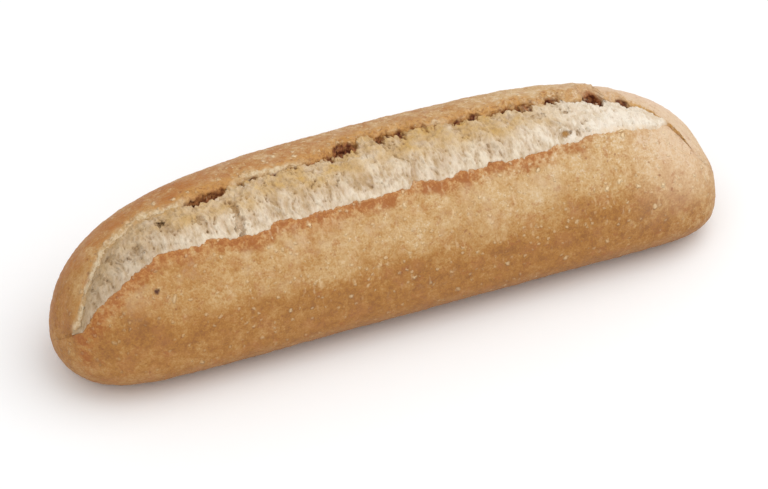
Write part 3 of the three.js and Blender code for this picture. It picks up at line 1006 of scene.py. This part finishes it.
# %% The crumb's material
def colour_crumb(start, place, patches, mottle, grain):
    x = coordinate(place, "X")
    cave, across, relief = (layer(start, name) for name in ("cave", "across", "relief"))
    # The relief term paints shade and light: hollows of the relief darker, raised strands paler.
    white = patches * 2.4 + mottle * 2.2 + grain + relief * 0.5
    # The rises along X here and below give paler cream towards the right end: painted light, because the
    # light falls from the right.
    white = white + x.rise(50, 70) * 0.3 + x.rise(14, 60) * 0.15 - across * 0.45 + 0.63
    painted_light_right = x.rise(30, 62)
    colour = white.mix(painted_light_right.mix(*CREAM_SHADED), painted_light_right.mix(*CREAM_LIT))
    blushing = cloud(place, 1.6, 3, seed=33, roughness=0.6).rise(0.44, 0.62)
    colour = (blushing * 0.28).mix(colour, BLUSH)
    browning = cloud(place, 4.5, 3, seed=6) - 0.5
    toasted = across.rise(0.15, 0.55) * (browning * 2.8 + mottle * 1.6 + relief * 0.2 + 0.5)
    toasted = toasted * (1 - x.rise(38, 58) * 0.8) * (x.rise(-90, -45) * 0.6 + 0.4)
    colour = (toasted * 0.85).mix(colour, TOAST)
    # Painted shade in the pits: points low in the relief turn darker.
    pits = (1 - relief.rise(-0.95, -0.25)) * (mottle + 0.7)
    colour = pits.mix(colour, PAINTED_PIT_SHADE)
    golden = across.rise(0.82, 1) * (mottle * 2.5 + 0.6) * (1 - x.rise(40, 66) * 0.6)
    colour = golden.mix(colour, GOLDEN_CRUMB)
    # Painted shade: the crumb darkens towards the left end, away from the light.
    colour = ((1 - x.rise(-100, -50)) * 0.62).mix(colour, PAINTED_SHADE_LEFT)
    colour = (x.rise(83.5, 86) * (mottle * 2 + 0.85)).mix(colour, BROWN_TIP)
    # Where the crumb slopes into a cave's mouth it darkens: painted shade there, and real browning on burst
    # bubbles.
    colour = (cave.rise(0.02, 0.3) * (mottle * 4 + 0.6)).mix(colour, CAVE_BROW_TOAST_AND_SHADE)
    fringe = (1 - across.rise(0, 0.14)) * x.rise(50, 66) * (mottle * 4 + 0.6)
    colour = (fringe * 0.5).mix(colour, FRINGE)
    # Cave insides of the crumb: toasted brown darkened with painted shade.
    pockets = cloud(drawn_out(place, 1, 0.3, 0.3), 1.1, 2, seed=22).rise(0.4, 0.62)
    return cave.rise(0.25, 0.7).mix(colour, pockets.mix(CRUMB_CAVE_TOAST_AND_SHADE_DARK, CRUMB_CAVE_TOAST_AND_SHADE_LIGHT))


def bake_crumb():
    material, shader, start = start_material("torn_crumb", Roughness=0.85, Specular_IOR_Level=0.2)
    place = place_in_mm(start)
    fibres = drawn_out(place, 1, 0.28, 0.5)
    back = layer(start, "across").rise(0.25, 0.65)
    patches = cloud(place, 5, 3, seed=2) - 0.5
    mottle = cloud(fibres, 1.1, 3, seed=3) * (1 - back) + cloud(place, 1.5, 3, seed=8) * back - 0.5
    grain = cloud(fibres, 0.4, 3, seed=4, roughness=0.65) - 0.5
    colour = colour_crumb(start, place, patches, mottle, grain)
    bump = start.node("ShaderNodeBump", Strength=0.8, Distance=MM, Height=grain * 0.4 + mottle * 0.25)
    feed(shader, Base_Color=colour, Normal=bump)
    print(material.name, "has", len(material.node_tree.nodes), "nodes")
    return material


crumb.data.materials.append(bake_crumb())

# %% [markdown]
# ## Joining the part
#
# Both pieces ride on the part's only body and stand for its only solid.

# %% Riding on the part
for piece, slot in ((crust, "crust"), (crumb, "crumb")):
    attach(piece, "root")
    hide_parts("bolillo_roll")
    print(piece.name, "stands for the packed roll with the finish", slot)

# %% [markdown]
# ## The studio
#
# Product pictures of bread use a big soft light from above and to one side, on a white table, and
# a weaker one from the other side to fill the shadows. The size of a light matters more than its
# strength: a large one gives the soft edges that we want. Sizes here are in metres.

# %% The floor
FLOOR_SIZE = 6
TABLE_WHITE = (0.98, 0.98, 0.98, 1)


def make_floor():
    shape = bmesh.new()
    bmesh.ops.create_grid(shape, x_segments=1, y_segments=1, size=FLOOR_SIZE / 2)
    mesh = bpy.data.meshes.new("floor")
    shape.to_mesh(mesh)
    shape.free()
    floor = bpy.data.objects.new("floor", mesh)
    bpy.context.scene.collection.objects.link(floor)
    mesh.materials.append(start_material("white_table", Roughness=0.9, Base_Color=TABLE_WHITE)[0])


make_floor()
print("the floor is", FLOOR_SIZE, "m square")

# %% The lights
AIM = Vector((0, 0, 0.02))  # the middle of the loaf
WORLD_STRENGTH = 0.76


def make_light(name, place, size, power):
    data = bpy.data.lights.new(name, "AREA")
    data.shape = "DISK"
    data.size = size
    data.energy = power
    lamp = bpy.data.objects.new(name, data)
    lamp.location = place
    lamp.rotation_euler = (AIM - Vector(place)).to_track_quat("-Z", "Y").to_euler()
    bpy.context.scene.collection.objects.link(lamp)
    print(name, "light:", size, "m wide and", power, "W")


def make_world():
    world = bpy.data.worlds.new("studio")
    world.use_nodes = True
    background = world.node_tree.nodes["Background"]
    background.inputs["Color"].default_value = (1, 1, 1, 1)
    background.inputs["Strength"].default_value = WORLD_STRENGTH
    bpy.context.scene.world = world


make_light("key", place=(0.45, -0.15, 0.9), size=1.1, power=4.2)
make_light("fill", place=(-0.55, -0.6, 0.8), size=0.8, power=1.3)
make_world()
bpy.context.scene.view_settings.view_transform = "Standard"

# %% [markdown]
# ### The camera
#
# A long lens from well away keeps the loaf's two ends in proportion. The camera looks down from the
# left front, and is slid sideways in its own picture plane to place the loaf in the frame.

# %% Placing the camera
ELEVATION = math.radians(42)
AZIMUTH = math.radians(21.87)  # to the left of the front
DISTANCE = 1200
TARGET = Vector((0, 0, 20))
PIXELS_PER_MM = 3.511  # at the target, in a picture 768 pixels wide
PICTURE_WIDTH = 768
FRAME_OFFSET = (-5.15, 26.06)  # where the target lies from the picture's centre, in pixels
SENSOR = 36
NEAREST_SEEN = 0.05  # in metres


def make_camera():
    level = math.cos(ELEVATION)
    back = Vector((-math.sin(AZIMUTH) * level, -math.cos(AZIMUTH) * level, math.sin(ELEVATION)))
    right = Vector((math.cos(AZIMUTH), -math.sin(AZIMUTH), 0))
    up = back.cross(right)
    slide = (right * FRAME_OFFSET[0] + up * FRAME_OFFSET[1]) / PIXELS_PER_MM
    data = bpy.data.cameras.new("camera")
    data.sensor_width = SENSOR
    data.lens = SENSOR * PIXELS_PER_MM * DISTANCE / PICTURE_WIDTH
    data.clip_start = NEAREST_SEEN
    camera = bpy.data.objects.new("camera", data)
    camera.location = (TARGET + back * DISTANCE - slide) * MM
    camera.rotation_euler = back.to_track_quat("Z", "Y").to_euler()
    bpy.context.scene.collection.objects.link(camera)
    bpy.context.scene.camera = camera
    print(f"lens {data.lens:.0f} mm, {DISTANCE} mm from the loaf")


make_camera()
